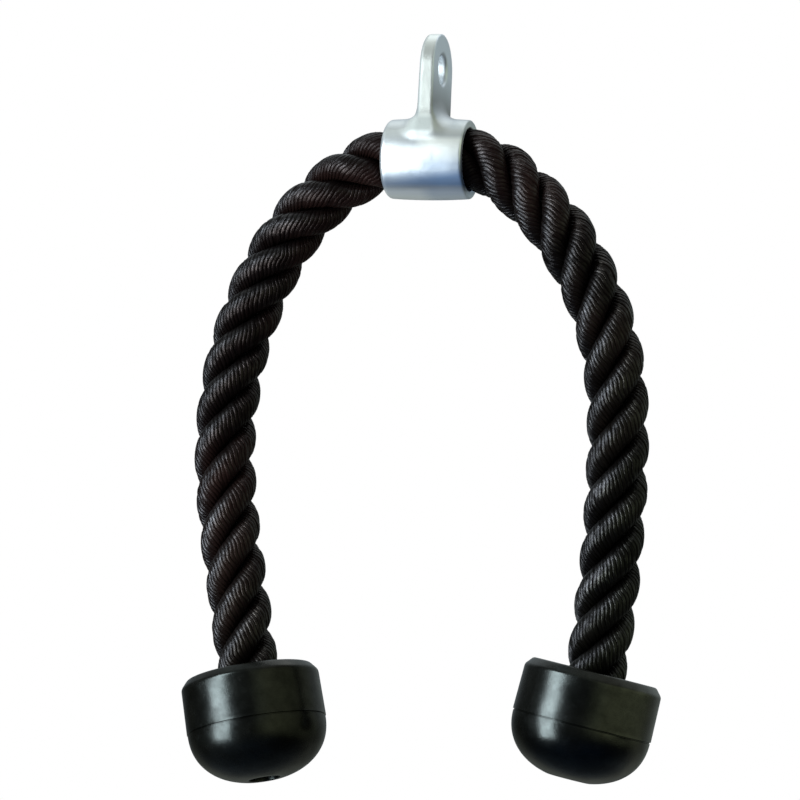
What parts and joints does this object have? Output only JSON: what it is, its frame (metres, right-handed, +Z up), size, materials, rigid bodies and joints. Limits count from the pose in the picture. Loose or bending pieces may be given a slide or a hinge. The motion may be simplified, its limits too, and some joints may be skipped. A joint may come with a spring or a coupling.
{
  "type": "triceps rope attachment",
  "caption": "Black laid rope bent into an arch through a cast metal ferrule with an eye, a rubber stop on each end, for pulling down on a cable machine",
  "frame": {"origin": "the centre of the eye that the attachment hangs from", "axes": "+Z up, from the stops to the eye; +X along the ferrule and through the eye; +Y towards the back of the pictured side"},
  "size_m": [0.2323, 0.0933, 0.3653],
  "materials": {
    "ferrule": "satin",
    "rope": "matte",
    "stop": "satin",
    "fixing": "satin"
  },
  "bodies": {
    "ferrule": {"ferrule": "ferrule"},
    "left_neck": {"left_neck_strand_1": "rope", "left_neck_strand_2": "rope", "left_neck_strand_3": "rope"},
    "left_leg": {"left_leg_strand_1": "rope", "left_leg_strand_2": "rope", "left_leg_strand_3": "rope", "left_stop": "stop", "left_crimp_band": "fixing", "left_washer": "fixing", "left_lag_screw": "fixing"},
    "right_neck": {"right_neck_strand_1": "rope", "right_neck_strand_2": "rope", "right_neck_strand_3": "rope"},
    "right_leg": {"right_leg_strand_1": "rope", "right_leg_strand_2": "rope", "right_leg_strand_3": "rope", "right_stop": "stop", "right_crimp_band": "fixing", "right_washer": "fixing", "right_lag_screw": "fixing"}
  },
  "joints": [
    {"name": "left_swing", "type": "hinge", "parent": "ferrule", "child": "left_neck", "pos_m": [0, 0, -0.0439], "axis": [1, 0, 0], "range_deg": [-35, 35], "stiffness_Nm_per_rad": 0.5, "springref_deg": -3.72},
    {"name": "left_spread", "type": "hinge", "parent": "left_neck", "child": "left_leg", "pos_m": [-0.05495, 0, -0.0644], "axis": [0, 1, 0], "range_deg": [-8, 40], "stiffness_Nm_per_rad": 0.8, "springref_deg": 2.29, "deforming": ["left_leg_strand_1", "left_leg_strand_2", "left_leg_strand_3"]},
    {"name": "right_swing", "type": "hinge", "parent": "ferrule", "child": "right_neck", "pos_m": [0, 0, -0.0439], "axis": [1, 0, 0], "range_deg": [-35, 35], "stiffness_Nm_per_rad": 0.5, "springref_deg": 1.95},
    {"name": "right_spread", "type": "hinge", "parent": "right_neck", "child": "right_leg", "pos_m": [0.05409, 0, -0.06562], "axis": [0, -1, 0], "range_deg": [-8, 40], "stiffness_Nm_per_rad": 0.8, "springref_deg": 4.93, "deforming": ["right_leg_strand_1", "right_leg_strand_2", "right_leg_strand_3"]}
  ]
}
